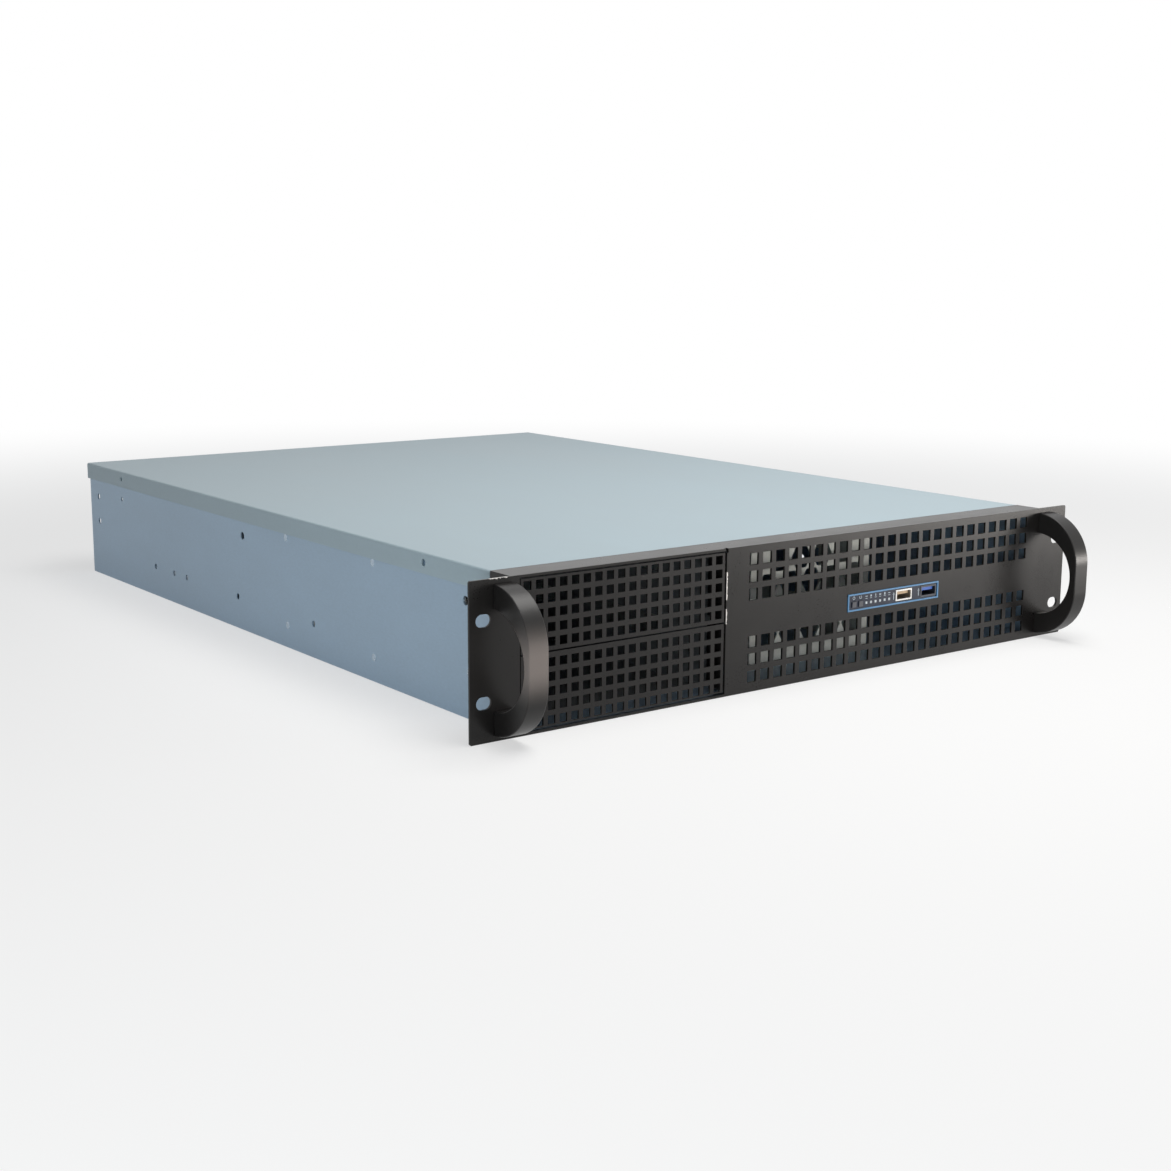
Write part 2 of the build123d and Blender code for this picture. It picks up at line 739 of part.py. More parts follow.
def fan_rotor(x):
    """Hub with pitched blades and the shaft that turns in the frame's hub."""
    rise = fan_places()[1]
    front = fan_wall_y + tray_sheet + rotor_recess
    back = fan_wall_y + tray_sheet + fan_depth - strut_depth - rotor_gap
    root = hub_radius - blade_root_depth
    blade = Pos((root + blade_reach) / 2, 0, 0) * Rot(blade_pitch, 0, 0)
    blade *= Box(blade_reach - root, blade_chord, blade_thickness)
    rotor = bar(hub_radius, back - front, wide_sides)
    rotor += [Rot(0, 0, 360 / blade_count * index) * blade for index in range(blade_count)]
    rotor = Pos(x, (front + back) / 2, rise) * Rot(90, 0, 0) * rotor
    return rotor + rod_y(x, (back, back + rotor_gap + shaft_length), rise, shaft_radius, true_round)


def psu_bracket():
    """Angle on the floor that stops the power supply's inner end."""
    y = case_depth - psu_bay_depth
    x = (psu_left, psu_left + psu_width)
    bracket = block(x, (y - tray_sheet, y), (tray_sheet, tray_sheet + psu_stop_height))
    return bracket + block(x, (y - psu_stop_foot, y), (tray_sheet, 2 * tray_sheet))


def board_standoffs():
    """Hexagonal threaded posts under the mainboard's nine holes, true round where it is lined up."""
    posts = []
    for column in board_columns:
        for row in board_rows:
            end_column = column in (board_columns[0], board_columns[-1])
            corner = end_column and row in (board_rows[0], board_rows[-1])
            post = extrude(RegularPolygon(standoff_flat / 2, 6, major_radius=False), standoff_height)
            post -= rod_z(0, 0, (0, standoff_height), standoff_bore, true_round if corner else small_sides)
            posts.append(Pos(board_edge_x - column, rear_inner - row, tray_sheet) * post)
    return posts


def handle(middle):
    """D-shaped bow handle with a round finger opening and tapped roots."""
    straight = handle_height / 2 - handle_reach
    bow = Plane((middle + handle_width / 2, 0, middle_rise), x_dir=(0, -1, 0), z_dir=(-1, 0, 0))
    top = CenterArc((0, straight), handle_reach, 0, 90)
    side = Line((handle_reach, -straight), (handle_reach, straight))
    bottom = CenterArc((0, -straight), handle_reach, -90, 90)
    root = Line((0, handle_height / 2), (0, -handle_height / 2))
    outline = make_face([bottom, side, top, root])
    grip = extrude(bow * outline, handle_width)
    grip -= rod_x((middle - handle_width, middle + handle_width), 0, middle_rise, handle_opening_radius,
                  true_round)
    grip -= [rod_y(middle, (-handle_screw_grip - past, past), middle_rise + step * handle_root,
                   handle_screw_bore) for step in (-1, 1)]
    return grip


def handle_screws():
    """Screws from behind the ears into the handles' roots."""
    return [rod_y(side * handle_centre, (panel_sheet, panel_sheet + handle_screw_head_height), z,
                  handle_screw_head_radius, screw_sides)
            + rod_y(side * handle_centre, (-handle_screw_grip, panel_sheet), z, handle_screw_radius)
            for side in (-1, 1) for z in (middle_rise - handle_root, middle_rise + handle_root)]


def strip_box(margin, y):
    """Box over the control strip, larger by the margin on every edge."""
    half_x = strip_width / 2 + margin
    half_z = strip_height / 2 + margin
    return block((strip_centre - half_x, strip_centre + half_x), y,
                 (strip_rise - half_z, strip_rise + half_z))


def control_bezel():
    """Blue line around the control strip, with a collar behind the front panel."""
    collar_back = panel_sheet + bezel_collar_depth
    bezel = strip_box(0, (-bezel_proud, collar_back))
    bezel += strip_box(bezel_collar, (panel_sheet, collar_back))
    return bezel - strip_box(-bezel_line, (-bezel_proud - past, collar_back + past))


def buttons():
    """Middle of each push button along the strip."""
    return {"power_button": strip_centre + power_button_offset,
            "reset_button": strip_centre + reset_button_offset}


def light_places():
    """Middle of each status light along the strip."""
    return grid(light_count, light_pitch, strip_centre + light_offset)


def port_places():
    """Middle of each port along the strip."""
    return {"usb2": strip_centre + usb2_offset, "usb3": strip_centre + usb3_offset}


def around(x, z, width, height, y):
    """Box of a width and height about a place on the control strip."""
    return block((x - width / 2, x + width / 2), y, (z - height / 2, z + height / 2))


def control_fascia():
    """Dark plate inside the bezel, pierced for the buttons, lights and ports."""
    y = (fascia_recess, fascia_back)
    through = (y[0] - past, y[1] + past)
    hole = button_size + 2 * button_slip
    cuts = [around(x, button_rise, hole, hole, through) for x in buttons().values()]
    light = light_size + 2 * slip
    cuts += [around(x, light_rise, light, light, through) for x in light_places()]
    cuts += [around(x, strip_rise, usb_width + 2 * button_slip, usb_height + 2 * button_slip, through)
             for x in port_places().values()]
    return strip_box(-bezel_line, y) - cuts


def press_stop():
    """Front of the push switches, just past a pressed button's back."""
    return fascia_back + button_flange_depth + button_travel + slip


def push_button(x):
    """Square push button, kept behind the fascia by its flange."""
    button = around(x, button_rise, button_size, button_size, (-button_proud, fascia_back + slip))
    return button + around(x, button_rise, button_flange, button_flange,
                           (fascia_back, fascia_back + button_flange_depth))


def push_switches():
    """Push switches on the control board, one behind each button."""
    front = press_stop()
    return [block((x - switch_width / 2 + slip, x + switch_width / 2 - slip), (front, front + switch_depth),
                  (strip_board_top, strip_board_top + switch_height)) for x in buttons().values()]


def status_lights():
    """Light pipes from the control board to the fascia."""
    bend = press_stop()
    high = light_rise + light_size / 2
    return [around(x, light_rise, light_size, light_size, (fascia_recess - slip, bend + slip))
            + block((x - light_size / 2, x + light_size / 2), (bend, bend + light_size),
                    (strip_board_top, high))
            for x in light_places()]


def control_board():
    """Board that carries the switches, lights and ports."""
    front = press_stop() + slip
    half = strip_width / 2 - slip
    return block((strip_centre - half, strip_centre + half), (front, front + board_depth),
                 (strip_board_under, strip_board_top))


def control_bracket():
    """Shelf behind the front panel with two bosses under the control board."""
    half = strip_width / 2 + bracket_margin
    x = (strip_centre - half, strip_centre + half)
    top = bracket_rise + bracket_height
    back = press_stop() + board_depth
    shelf = block(x, (panel_sheet, panel_sheet + bracket_sheet), (bracket_rise, top))
    shelf += block(x, (panel_sheet, back), (top - bracket_sheet, top))
    boss_y = back - 2 * board_boss_radius
    shelf += [rod_z(strip_centre + step * board_boss_spread / 2, boss_y, (top, strip_board_under),
                    board_boss_radius) for step in (-1, 1)]
    return shelf


def usb_shell(x):
    """Metal shell of a port, with a lip around its mouth."""
    shell = around(x, strip_rise, usb_width, usb_height, (usb_mouth, usb_back))
    shell += around(x, strip_rise, usb_width + 2 * usb_lip, usb_height + 2 * usb_lip,
                    (fascia_recess - usb_lip_depth, fascia_recess))
    return shell - around(x, strip_rise, usb_width - 2 * usb_sheet, usb_height - 2 * usb_sheet,
                          (usb_mouth - past, usb_back + past))


def usb_tongue(x):
    """Contact tongue of a port with the block that fills the shell's back."""
    block_y = (usb_back - usb_back_depth, usb_back)
    tongue = around(x, strip_rise, usb_width - 2 * usb_sheet, usb_height - 2 * usb_sheet, block_y)
    low = strip_rise + usb_tongue_rise
    return tongue + block((x - usb_tongue_width / 2, x + usb_tongue_width / 2),
                          (usb_mouth + usb_tongue_setback, block_y[0]), (low, low + usb_tongue_height))


write("base_tray", base_tray())
write("rear_panel", rear_panel())
write("slot_covers", slot_covers())
write("slot_screws", slot_screws())
write("front_panel", front_panel())
lower_low, upper_low = bay_cover_lows()
write("lower_bay_cover", bay_cover(lower_low, bay_pattern_rise - bay_pattern_spread / 2))
write("upper_bay_cover", bay_cover(upper_low, bay_pattern_rise + bay_pattern_spread / 2))
write("bay_cover_screws", bay_cover_screws())
write("optical_drive_cage", optical_drive_cage())
write("side_rivets", side_rivets())
write("hard_drive_cage", hard_drive_cage())
write("drive_cage_screws", drive_cage_screws())
write("fan_wall", fan_wall())
for number, fan_x in enumerate(fan_places()[0], start=1):
    write(f"fan_frame_{number}", fan_frame(fan_x))
    write(f"fan_rotor_{number}", fan_rotor(fan_x))
write("psu_bracket", psu_bracket())
write("board_standoffs", board_standoffs())
write("left_handle", handle(-handle_centre))
write("right_handle", handle(handle_centre))
write("handle_screws", handle_screws())
write("control_bezel", control_bezel())
write("control_fascia", control_fascia())
for name, button_x in buttons().items():
    write(name, push_button(button_x))
write("push_switches", push_switches())
write("status_lights", status_lights())
write("control_board", control_board())
write("control_bracket", control_bracket())
for name, port_x in port_places().items():
    write(f"{name}_shell", usb_shell(port_x))
    write(f"{name}_tongue", usb_tongue(port_x))
write("top_cover", top_cover())
write("cover_thumbscrews", cover_thumbscrews())
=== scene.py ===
"""Looks of an empty two-unit rackmount server case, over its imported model, in metres."""
from math import atan2, cos, radians, sin, tau

import bmesh
import bpy
from mathutils import Matrix, Vector


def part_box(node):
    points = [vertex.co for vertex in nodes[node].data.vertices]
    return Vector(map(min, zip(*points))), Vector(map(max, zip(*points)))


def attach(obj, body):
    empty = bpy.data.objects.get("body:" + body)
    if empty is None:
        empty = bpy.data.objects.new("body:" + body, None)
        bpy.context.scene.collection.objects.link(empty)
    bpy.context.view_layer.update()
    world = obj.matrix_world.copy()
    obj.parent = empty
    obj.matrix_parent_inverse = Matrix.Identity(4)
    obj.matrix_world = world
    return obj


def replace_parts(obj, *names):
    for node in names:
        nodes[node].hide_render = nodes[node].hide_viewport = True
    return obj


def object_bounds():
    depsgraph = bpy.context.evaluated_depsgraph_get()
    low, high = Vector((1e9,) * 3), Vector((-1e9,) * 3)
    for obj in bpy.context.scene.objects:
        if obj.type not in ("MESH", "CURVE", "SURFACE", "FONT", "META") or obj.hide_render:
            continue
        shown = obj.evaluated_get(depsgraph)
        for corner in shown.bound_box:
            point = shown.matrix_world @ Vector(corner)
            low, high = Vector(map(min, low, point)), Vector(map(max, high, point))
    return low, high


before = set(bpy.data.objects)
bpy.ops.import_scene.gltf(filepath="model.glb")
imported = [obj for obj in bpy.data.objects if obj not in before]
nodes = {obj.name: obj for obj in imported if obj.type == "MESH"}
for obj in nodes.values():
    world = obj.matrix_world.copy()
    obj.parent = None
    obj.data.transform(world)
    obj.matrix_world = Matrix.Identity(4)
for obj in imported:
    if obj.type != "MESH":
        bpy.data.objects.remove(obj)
model_box = [list(corner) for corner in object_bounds()]
scene = bpy.context.scene
scene.view_settings.view_transform = "Standard"


# Studio. The case stands on a plain pale table top in front of a white wall.
# A wide soft lamp hangs over its front. Two low ones, no taller than the case, stand at the left
# and the right, so that they light its upright faces and leave the lid alone.
def table_finish():
    """Pale table top that keeps the case's shadow and fades to plain white away from it."""
    material = bpy.data.materials.new("pale_table")
    material.use_nodes = True
    tree = material.node_tree
    tree.nodes.clear()
    output = tree.nodes.new("ShaderNodeOutputMaterial")
    paint = tree.nodes.new("ShaderNodeBsdfDiffuse")
    paint.inputs["Color"].default_value = (0.95, 0.95, 0.95, 1)
    glow = tree.nodes.new("ShaderNodeEmission")
    glow.inputs["Strength"].default_value = 1
    seen = tree.nodes.new("ShaderNodeMixShader")
    rays = tree.nodes.new("ShaderNodeLightPath")
    either = tree.nodes.new("ShaderNodeMath")
    either.operation = "MAXIMUM"
    tree.links.new(rays.outputs["Is Camera Ray"], either.inputs[0])
    tree.links.new(rays.outputs["Is Glossy Ray"], either.inputs[1])
    place = tree.nodes.new("ShaderNodeTexCoord")
    away = tree.nodes.new("ShaderNodeVectorMath")
    away.operation = "LENGTH"
    tree.links.new(place.outputs["Object"], away.inputs[0])
    fade = tree.nodes.new("ShaderNodeMapRange")
    fade.interpolation_type = "SMOOTHSTEP"
    fade.inputs["From Min"].default_value = 0.35
    fade.inputs["From Max"].default_value = 1.5
    fade.inputs["To Min"].default_value = 0.6
    tree.links.new(away.outputs["Value"], fade.inputs["Value"])
    part = tree.nodes.new("ShaderNodeMath")
    part.operation = "MULTIPLY"
    tree.links.new(either.outputs[0], part.inputs[0])
    tree.links.new(fade.outputs[0], part.inputs[1])
    tree.links.new(part.outputs[0], seen.inputs["Fac"])
    tree.links.new(paint.outputs[0], seen.inputs[1])
    tree.links.new(glow.outputs[0], seen.inputs[2])
    tree.links.new(seen.outputs[0], output.inputs["Surface"])
    return material


table_half = 12
table_gap = 0.0002
table_mesh = bmesh.new()
bmesh.ops.create_grid(table_mesh, x_segments=1, y_segments=1, size=table_half)
bmesh.ops.translate(table_mesh, verts=table_mesh.verts, vec=(0, 0, model_box[0][2] - table_gap))
table_data = bpy.data.meshes.new("table")
table_mesh.to_mesh(table_data)
table_mesh.free()
table = bpy.data.objects.new("table", table_data)
scene.collection.objects.link(table)
table_data.materials.append(table_finish())

world = bpy.data.worlds.new("studio")
scene.world = world
world.use_nodes = True
sky = world.node_tree
sky.nodes.clear()
sky_output = sky.nodes.new("ShaderNodeOutputWorld")
sky_seen = sky.nodes.new("ShaderNodeMixShader")
sky_light = sky.nodes.new("ShaderNodeBackground")
sky_light.inputs["Color"].default_value = (0.86, 0.93, 1.0, 1)
sky_light.inputs["Strength"].default_value = 0.14
sky_white = sky.nodes.new("ShaderNodeBackground")
sky_white.inputs["Color"].default_value = (1, 1, 1, 1)
sky_white.inputs["Strength"].default_value = 1
sky_rays = sky.nodes.new("ShaderNodeLightPath")
sky_either = sky.nodes.new("ShaderNodeMath")
sky_either.operation = "MAXIMUM"
sky_any = sky.nodes.new("ShaderNodeMath")
sky_any.operation = "MAXIMUM"
sky.links.new(sky_rays.outputs["Is Camera Ray"], sky_either.inputs[0])
sky.links.new(sky_rays.outputs["Is Transmission Ray"], sky_either.inputs[1])
sky.links.new(sky_either.outputs[0], sky_any.inputs[0])
sky.links.new(sky_rays.outputs["Is Glossy Ray"], sky_any.inputs[1])
sky.links.new(sky_any.outputs[0], sky_seen.inputs["Fac"])
sky.links.new(sky_light.outputs[0], sky_seen.inputs[1])
sky.links.new(sky_white.outputs[0], sky_seen.inputs[2])
sky.links.new(sky_seen.outputs[0], sky_output.inputs["Surface"])


def soft_lamp(name, place, aim, size, power, colour):
    """Square-cornered lamp of a given size, hung at a place and turned towards another."""
    lamp = bpy.data.lights.new(name, "AREA")
    lamp.shape = "RECTANGLE"
    lamp.size, lamp.size_y = size
    lamp.energy = power
    lamp.color = colour
    hung = bpy.data.objects.new(name, lamp)
    hung.location = place
    hung.rotation_euler = (Vector(aim) - Vector(place)).to_track_quat("-Z", "Y").to_euler()
    scene.collection.objects.link(hung)


soft_lamp("over_front", (0.12, -0.42, 0.90), (0.02, -0.34, 0), (0.9, 0.5), 7.9, (1.0, 0.985, 0.96))
soft_lamp("from_left", (-0.94, -0.86, 0.075), (-0.24, -0.26, 0.05), (0.5, 0.11), 2.5, (0.84, 0.95, 1.0))
soft_lamp("from_right", (0.80, -0.90, 0.065), (0.22, -0.3, 0.045), (0.45, 0.09), 4.0, (1.0, 0.95, 0.9))

# Camera, at the photograph's place: in front of the case, to its left and a little above it. It
# is a plain pinhole, turned and shifted to frame the case as the photograph does.
camera_data = bpy.data.cameras.new("camera")
camera_data.sensor_width = 36
camera_data.lens = 52.926
camera_data.shift_x = -0.002784
camera_data.shift_y = -0.009748
camera_data.clip_start = 0.05
camera = bpy.data.objects.new("camera", camera_data)
camera_right = Vector((0.800795, -0.598914, 0.005429))
camera_down = Vector((-0.105383, -0.149817, -0.983082))
camera_ahead = Vector((0.589595, 0.786675, -0.183088))
camera.matrix_world = Matrix.Translation((-0.714628, -1.023084, 0.254772)) @ Matrix(
    (camera_right, -camera_down, -camera_ahead)).transposed().to_4x4()
scene.collection.objects.link(camera)
scene.camera = camera


# Tray, rear wall and their rivets. Zinc-coated steel sheet, cold rolled and folded, so the coat
# has a faint crystalline mottle and streaks along the rolling direction. Domed rivets, of a
# brighter metal, hold the drive cage to the left wall.
def finish(name, colour, roughness, metallic=0.0, spread=0.08, clouds=9.0, grain=700.0, depth=0.00002,
           stretch=(1, 1, 1), **sockets):
    """Finish whose colour drifts in clouds and whose surface has a fine grain, streaked where stretched."""
    material = bpy.data.materials.new(name)
    material.use_nodes = True
    tree = material.node_tree
    shader = tree.nodes["Principled BSDF"]
    shader.inputs["Metallic"].default_value = metallic
    for socket, value in sockets.items():
        shader.inputs[socket.replace("_", " ")].default_value = value
    place = tree.nodes.new("ShaderNodeTexCoord")
    turn = tree.nodes.new("ShaderNodeMapping")
    turn.inputs["Scale"].default_value = stretch
    tree.links.new(place.outputs["Object"], turn.inputs["Vector"])
    drift = tree.nodes.new("ShaderNodeTexNoise")
    drift.inputs["Scale"].default_value = clouds
    drift.inputs["Detail"].default_value = 6
    drift.inputs["Roughness"].default_value = 0.65
    tree.links.new(turn.outputs[0], drift.inputs["Vector"])
    fine = tree.nodes.new("ShaderNodeTexNoise")
    fine.inputs["Scale"].default_value = grain
    fine.inputs["Detail"].default_value = 3
    tree.links.new(turn.outputs[0], fine.inputs["Vector"])
    both = tree.nodes.new("ShaderNodeMix")
    both.data_type = "FLOAT"
    both.inputs["Factor"].default_value = 0.35
    tree.links.new(drift.outputs["Fac"], both.inputs["A"])
    tree.links.new(fine.outputs["Fac"], both.inputs["B"])
    tones = tree.nodes.new("ShaderNodeValToRGB")
    tones.color_ramp.elements[0].position = 0.3
    tones.color_ramp.elements[0].color = (*[c * (1 - spread) for c in colour], 1)
    tones.color_ramp.elements[1].position = 0.7
    tones.color_ramp.elements[1].color = (*[min(1, c * (1 + spread)) for c in colour], 1)
    tree.links.new(both.outputs["Result"], tones.inputs["Fac"])
    tree.links.new(tones.outputs["Color"], shader.inputs["Base Color"])
    sheen = tree.nodes.new("ShaderNodeMapRange")
    sheen.inputs["From Min"].default_value = 0.25
    sheen.inputs["From Max"].default_value = 0.75
    sheen.inputs["To Min"].default_value = roughness - 0.05
    sheen.inputs["To Max"].default_value = roughness + 0.06
    tree.links.new(both.outputs["Result"], sheen.inputs["Value"])
    tree.links.new(sheen.outputs[0], shader.inputs["Roughness"])
    bump = tree.nodes.new("ShaderNodeBump")
    bump.inputs["Strength"].default_value = 1
    bump.inputs["Distance"].default_value = depth
    tree.links.new(fine.outputs["Fac"], bump.inputs["Height"])
    tree.links.new(bump.outputs[0], shader.inputs["Normal"])
    return material


def wear(piece, material):
    """Gives a piece one finish all over."""
    piece.data.materials.clear()
    piece.data.materials.append(material)


def piece_from(name, mesh, body, material, smooth=radians(35)):
    """Makes a finished mesh a piece that rides on its body, shaded smooth below the given angle."""
    bmesh.ops.recalc_face_normals(mesh, faces=mesh.faces)
    for face in mesh.faces:
        face.smooth = True
    for edge in mesh.edges:
        edge.smooth = edge.is_manifold and edge.calc_face_angle() < smooth
    data = bpy.data.meshes.new(name)
    mesh.to_mesh(data)
    mesh.free()
    piece = bpy.data.objects.new(name, data)
    scene.collection.objects.link(piece)
    wear(piece, material)
    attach(piece, body)
    return piece


def broken_edges(node, name, width, body, material):
    """The CAD piece with its sharp edges broken, as sheet has after punching and coating."""
    mesh = bmesh.new()
    mesh.from_mesh(nodes[node].data)
    bmesh.ops.remove_doubles(mesh, verts=mesh.verts, dist=0.000002)
    bmesh.ops.dissolve_limit(mesh, angle_limit=radians(0.5), verts=mesh.verts, edges=mesh.edges,
                             delimit={"NORMAL"})
    edges = [edge for edge in mesh.edges if edge.is_manifold and edge.calc_face_angle() > radians(40)]
    bmesh.ops.bevel(mesh, geom=edges, offset=width, offset_type="OFFSET", affect="EDGES", segments=2,
                    profile=0.5, material=-1, clamp_overlap=True)
    piece = piece_from(name, mesh, body, material, smooth=radians(14))
    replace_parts(piece, node)


def build_up(mesh, radius, sides, steps):
    """Turned piece that rises along Z: each step is how far it rises and the radius that it reaches."""
    old = set(mesh.verts)
    bmesh.ops.create_circle(mesh, cap_ends=True, segments=sides, radius=radius)
    face = next(vert for vert in mesh.verts if vert not in old).link_faces[0]
    for rise, wide in steps:
        face = bmesh.ops.extrude_discrete_faces(mesh, faces=[face])["faces"][0]
        bmesh.ops.scale(mesh, vec=(wide / radius, wide / radius, 1), verts=face.verts)
        bmesh.ops.translate(mesh, vec=(0, 0, rise), verts=face.verts)
        radius = wide
    made = [vert for vert in mesh.verts if vert not in old]
    edges = {edge for vert in made for edge in vert.link_edges if edge.is_boundary}
    bmesh.ops.holes_fill(mesh, edges=list(edges))
    return face, made


def stand(mesh, verts, place, turn):
    """Turns verts that rise along Z and sets them at their place."""
    bmesh.ops.transform(mesh, matrix=Matrix.Translation(place) @ turn, verts=verts)


def solid_boxes(node):
    """Low and high corners of each solid of a CAD node, from left to right and front to back."""
    mesh = bmesh.new()
    mesh.from_mesh(nodes[node].data)
    bmesh.ops.remove_doubles(mesh, verts=mesh.verts, dist=0.000002)
    left = set(mesh.verts)
    boxes = []
    while left:
        reached = [left.pop()]
        for vert in reached:
            near = {edge.other_vert(vert) for edge in vert.link_edges} & left
            left -= near
            reached += near
        places = [vert.co for vert in reached]
        boxes.append([Vector(map(pick, *places)) for pick in (min, max)])
    mesh.free()
    return sorted(boxes, key=lambda box: [round(value, 5) for value in box[0]])


case_zinc = finish("case_zinc", (0.335, 0.445, 0.555), 0.46, metallic=0.3, spread=0.10, clouds=14, grain=900,
                   stretch=(1, 0.35, 1))
sheet_break = 0.0002
broken_edges("base_tray", "folded_tray", sheet_break, "case", case_zinc)
broken_edges("rear_panel", "folded_rear", sheet_break, "case", case_zinc)
rivet_bright = finish("rivet_bright", (0.42, 0.51, 0.60), 0.26, metallic=0.5, spread=0.05, clouds=300)
rivets = bmesh.new()
rivet_shank = 0.00155
rivet_sides = 24
rivet_steps = [(0.002, rivet_shank), (0, 0.0024), (0.0001, 0.0024), (0.00015, 0.0020), (0.0001, 0.0014),
               (0.00005, 0.0007)]
rivet_length = sum(rise for rise, _ in rivet_steps)
to_left = Matrix.Rotation(radians(-90), 4, "Y")
for low, high in solid_boxes("side_rivets"):
    rivet = build_up(rivets, rivet_shank, rivet_sides, rivet_steps)[1]
    place = (low.x + rivet_length, (low.y + high.y) / 2, (low.z + high.z) / 2)
    stand(rivets, rivet, place, to_left)
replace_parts(piece_from("domed_rivets", rivets, "case", rivet_bright), "side_rivets")

# Drive cages, fan wall, power-supply stop and control shelf. The same kind of sheet, punched and
# folded, in two painted copies. A much lighter one carries painted light, for the light that comes in
# through the front grille. A dark one, on the optical drive cage, carries painted shade, for the
# shadow behind the bay covers.
# Lighter copy of the sheet: painted light, for the light that comes in through the front grille.
cage_sheet_painted_light = finish("cage_sheet_painted_light", (0.70, 0.72, 0.68), 0.42, metallic=0.15, spread=0.08, clouds=14, grain=900)
# Darker copy of the same sheet: painted shade, for the shadow behind the bay covers.
cage_sheet_painted_shade = finish("cage_sheet_painted_shade", (0.19, 0.20, 0.205), 0.45, metallic=0.15, spread=0.08, clouds=14, grain=900)
for name in ("hard_drive_cage", "fan_wall", "psu_bracket", "control_bracket"):
    wear(nodes[name], cage_sheet_painted_light)
wear(nodes["optical_drive_cage"], cage_sheet_painted_shade)

# Screws of the cages and slot covers. Zinc-plated pan heads with a cross recess, turned in from
# inside the case.
screw_zinc = finish("screw_zinc", (0.58, 0.60, 0.62), 0.30, metallic=0.9, clouds=200)
screw_sides = 24
head_steps = ((0, 1), (0.45, 1), (0.35, 0.92), (0.2, 0.74))
recess_reach = 0.52
recess_half = 0.13
recess_depth = 0.5
recess_taper = 0.8


def cross_screws(name, node, axis, head, shank_radius):
    """Pan-head screws with a cross recess, in place of the CAD node, heads towards the axis's high end."""
    mesh = bmesh.new()
    head_radius, head_height = head
    turn = Vector((0, 0, 1)).rotation_difference(axis).to_matrix().to_4x4()
    for low, high in solid_boxes(node):
        shank_length = (high - low).dot(axis) - head_height
        place = (low + high) / 2
        place += axis * (high.dot(axis) - head_height - place.dot(axis))
        steps = [(shank_length, shank_radius)]
        steps += [(rise * head_height, wide * head_radius) for rise, wide in head_steps]
        top, made = build_up(mesh, shank_radius, screw_sides, steps)
        old = set(mesh.verts)
        top = bmesh.ops.extrude_discrete_faces(mesh, faces=[top])["faces"][0]
        arm, wide, level = recess_reach * head_radius, recess_half * head_radius, top.verts[0].co.z
        quarter = ((arm, 0), (arm, wide), ((arm + wide) / 2, wide), (wide, wide), (wide, (arm + wide) / 2),
                   (wide, arm))
        for vert in top.verts:
            number = round(atan2(vert.co.y, vert.co.x) * screw_sides / tau) % screw_sides
            turns, along = divmod(number, len(quarter))
            corner = Matrix.Rotation(radians(90 * turns), 2) @ Vector(quarter[along])
            vert.co = (*corner, level)
        top = bmesh.ops.extrude_discrete_faces(mesh, faces=[top])["faces"][0]
        bmesh.ops.scale(mesh, vec=(recess_taper, recess_taper, 1), verts=top.verts)
        bmesh.ops.translate(mesh, vec=(0, 0, -recess_depth * head_height), verts=top.verts)
        made += [vert for vert in mesh.verts if vert not in old]
        bmesh.ops.translate(mesh, vec=(0, 0, -shank_length), verts=made)
        stand(mesh, made, place, turn)
    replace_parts(piece_from(name, mesh, "case", screw_zinc, smooth=radians(30)), node)


small_head = (0.0031, 0.0018)
small_shank = 0.00145
rightward, backward, upward = Vector((1, 0, 0)), Vector((0, 1, 0)), Vector((0, 0, 1))
cross_screws("slot_cover_screws", "slot_screws", upward, small_head, small_shank)
cross_screws("cage_foot_screws", "drive_cage_screws", upward, small_head, small_shank)
cross_screws("bay_screws", "bay_cover_screws", rightward, small_head, small_shank)

# Slot covers. Blanking plates stamped from bright nickel-plated strip. Each is bent over into a tab
# at its top, which one screw holds to the ledge inside the rear wall.
slot_plate = finish("slot_plate", (0.44, 0.45, 0.46), 0.30, metallic=0.9, spread=0.05, clouds=30,
                    depth=0.000004)
wear(nodes["slot_covers"], slot_plate)

# Board standoffs. Hexagonal posts turned from brass rod and screwed into the floor, one under
# each hole of a mainboard.
post_brass = finish("post_brass", (0.62, 0.45, 0.18), 0.30, metallic=0.95, clouds=200)
wear(nodes["board_standoffs"], post_brass)

# Fans. Three frames and rotors moulded in black plastic, pressed into the guides of the fan wall.
# Each rotor turns on a shaft in its frame's hub.
fan_black = finish("fan_black", (0.022, 0.022, 0.022), 0.42, spread=0.08, clouds=40, grain=1200)
for number in (1, 2, 3):
    wear(nodes[f"fan_frame_{number}"], fan_black)
    wear(nodes[f"fan_rotor_{number}"], fan_black)

